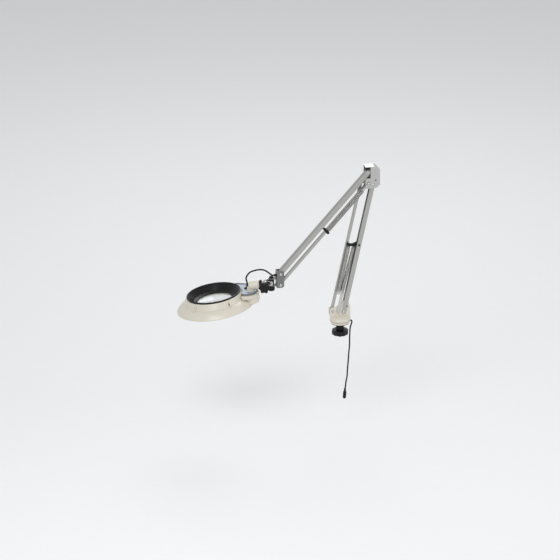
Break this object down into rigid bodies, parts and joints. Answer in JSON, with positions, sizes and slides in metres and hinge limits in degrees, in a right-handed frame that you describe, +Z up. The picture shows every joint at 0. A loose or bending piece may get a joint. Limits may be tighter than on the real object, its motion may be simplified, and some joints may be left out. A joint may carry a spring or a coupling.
{
  "type": "magnifying lamp",
  "caption": "Clamp-on magnifying lamp with a round ring-lit lens on a swivelling, spring-balanced double parallelogram arm.",
  "frame": {"origin": "middle of the foot's underside, on the desk top and on the swivel axis", "axes": "+Z up along the swivel axis, the arm moves in the XZ plane and the head reaches towards -X, +Y to the lamp's back"},
  "size_m": [0.5969, 0.2298, 0.7358],
  "materials": {
    "cream_enamel": "off-white, slightly glossy",
    "satin_metal": "satin nickel grey",
    "elbow_metal": "light satin silver",
    "dark_metal": "dark grey paint",
    "steel": "bright zinc",
    "black_plastic": "matt black",
    "black_cord": "black cord sheath",
    "lens_glass": "clear",
    "light_plastic": "frosted white",
    "plate_blue": "bluish silver",
    "rim_grey": "dark grey"
  },
  "bodies": {
    "foot": {"base_foot": "cream_enamel", "foot_pad": "black_plastic", "mount_stud": "steel", "cord_gland": "black_plastic", "power_cord": "black_cord", "connector": "black_plastic"},
    "clamp_washer": {"clamp_washer": "black_plastic"},
    "hand_nut": {"hand_nut": "black_plastic"},
    "swivel": {"swivel_housing": "cream_enamel", "lower_pivot_bolt": "steel", "rod_pivot_bolt": "steel"},
    "lower_arm": {"lower_main": "satin_metal", "spring_yoke": "black_plastic", "yoke_pin": "steel", "lower_spring_front": "steel", "lower_spring_back": "steel"},
    "lower_rod": {"lower_rod": "satin_metal"},
    "spring_link": {"spring_link": "steel"},
    "elbow": {"elbow_bracket": "elbow_metal", "elbow_bolt_top": "steel", "elbow_bolt_rod": "steel", "elbow_bolt_main": "steel", "elbow_rod_pin": "steel", "elbow_cap": "black_plastic"},
    "upper_arm": {"upper_main": "satin_metal"},
    "upper_rod": {"upper_rod": "satin_metal", "upper_spring": "steel"},
    "spring_collar": {"spring_collar": "black_plastic"},
    "end_bracket": {"end_bracket": "dark_metal", "bracket_bolt_top": "steel", "bracket_bolt_low": "steel", "bracket_gland": "black_plastic", "head_cable_1": "black_cord"},
    "wrist": {"swivel_barrel": "black_plastic", "fork_plate_front": "steel", "fork_plate_back": "steel", "tilt_bolt": "steel", "head_cable_2": "black_cord"},
    "swivel_knob": {"swivel_knob": "black_plastic"},
    "tilt_knob": {"tilt_knob": "black_plastic"},
    "tilt": {"tilt_block": "satin_metal", "head_cable_3": "black_cord"},
    "roll_collar": {"roll_collar": "black_plastic"},
    "head": {"head_shell": "cream_enamel", "hood_rim": "black_plastic", "lens": "lens_glass", "led_board": "light_plastic", "diffuser": "light_plastic", "lens_bezel": "cream_enamel", "hood_clip_1": "cream_enamel", "hood_clip_2": "cream_enamel", "hood_clip_3": "cream_enamel", "hood_clip_4": "cream_enamel", "rear_deck": "cream_enamel", "switch_plate": "plate_blue", "plate_rim": "rim_grey", "neck": "cream_enamel", "head_gland": "black_plastic"},
    "rocker": {"rocker_switch": "black_plastic"}
  },
  "joints": [
    {"name": "washer_slide", "type": "slide", "parent": "foot", "child": "clamp_washer", "axis": [0, 0, -1], "range_m": [0, 0.0121]},
    {"name": "hand_nut_turn", "type": "hinge", "parent": "clamp_washer", "child": "hand_nut", "pos_m": [0, 0, -0.008], "axis": [0, 0, 1], "range_deg": [0, 2160]},
    {"name": "base_swivel", "type": "hinge", "parent": "foot", "child": "swivel", "pos_m": [0, 0, 0.009], "axis": [0, 0, 1], "range_deg": [-170, 170]},
    {"name": "lower_arm_lean", "type": "hinge", "parent": "swivel", "child": "lower_arm", "pos_m": [0.01, 0, 0.0363], "axis": [0, 1, 0], "range_deg": [-40, 18]},
    {"name": "lower_rod_turn", "type": "hinge", "parent": "swivel", "child": "lower_rod", "pos_m": [-0.024, 0, 0.0411], "axis": [0, 1, 0], "range_deg": [-40, 18]},
    {"name": "spring_link_slide", "type": "slide", "parent": "lower_arm", "child": "spring_link", "axis": [0.2147, 0, 0.9767], "range_m": [-0.006, 0.013], "deforming": ["lower_spring_front", "lower_spring_back"]},
    {"name": "elbow_level", "type": "hinge", "parent": "lower_arm", "child": "elbow", "pos_m": [0.098, 0, 0.43654], "axis": [0, 1, 0], "range_deg": [-18, 40]},
    {"name": "upper_arm_lift", "type": "hinge", "parent": "elbow", "child": "upper_arm", "pos_m": [0.0829, 0, 0.4769], "axis": [0, 1, 0], "range_deg": [-15, 45]},
    {"name": "upper_rod_turn", "type": "hinge", "parent": "elbow", "child": "upper_rod", "pos_m": [0.0829, 0, 0.4424], "axis": [0, 1, 0], "range_deg": [-15, 45]},
    {"name": "spring_collar_slide", "type": "slide", "parent": "upper_rod", "child": "spring_collar", "axis": [-0.6616, 0, -0.7499], "range_m": [-0.0082, 0.0242], "deforming": ["upper_spring"]},
    {"name": "bracket_level", "type": "hinge", "parent": "upper_arm", "child": "end_bracket", "pos_m": [-0.18259, 0, 0.17597], "axis": [0, 1, 0], "range_deg": [-45, 15]},
    {"name": "wrist_swivel", "type": "hinge", "parent": "end_bracket", "child": "wrist", "pos_m": [-0.209, -0.0075, 0.151], "axis": [0, 0, 1], "range_deg": [-60, 45], "deforming": ["head_cable_1"]},
    {"name": "swivel_knob_turn", "type": "hinge", "parent": "wrist", "child": "swivel_knob", "pos_m": [-0.209, -0.0075, 0.13], "axis": [0, 0, 1], "range_deg": [-180, 180]},
    {"name": "head_tilt", "type": "hinge", "parent": "wrist", "child": "tilt", "pos_m": [-0.22583, -0.00235, 0.1431], "axis": [0.2924, 0.9563, 0], "range_deg": [-45, 55], "deforming": ["head_cable_2"]},
    {"name": "tilt_knob_turn", "type": "hinge", "parent": "wrist", "child": "tilt_knob", "pos_m": [-0.22583, -0.00235, 0.1431], "axis": [0.2924, 0.9563, 0], "range_deg": [-180, 180]},
    {"name": "roll_collar_turn", "type": "hinge", "parent": "tilt", "child": "roll_collar", "pos_m": [-0.23828, 0.00145, 0.14092], "axis": [0.9432, -0.2884, 0.165], "range_deg": [-90, 90]},
    {"name": "head_roll", "type": "hinge", "parent": "tilt", "child": "head", "pos_m": [-0.24205, 0.00261, 0.14026], "axis": [0.9432, -0.2884, 0.165], "range_deg": [-40, 40], "deforming": ["head_cable_3"]},
    {"name": "rocker_rock", "type": "hinge", "parent": "head", "child": "rocker", "pos_m": [-0.27109, 0.04076, 0.11834], "axis": [0.2924, 0.9563, 0], "range_deg": [-6, 6]}
  ],
  "couplings": [
    {"joint": "lower_rod_turn", "follows": "lower_arm_lean", "ratio": 1},
    {"joint": "elbow_level", "follows": "lower_arm_lean", "ratio": -1},
    {"joint": "spring_link_slide", "follows": "lower_arm_lean", "m_per_rad": -0.0181},
    {"joint": "upper_rod_turn", "follows": "upper_arm_lift", "ratio": 1},
    {"joint": "bracket_level", "follows": "upper_arm_lift", "ratio": -1},
    {"joint": "spring_collar_slide", "follows": "upper_arm_lift", "m_per_rad": 0.03}
  ]
}
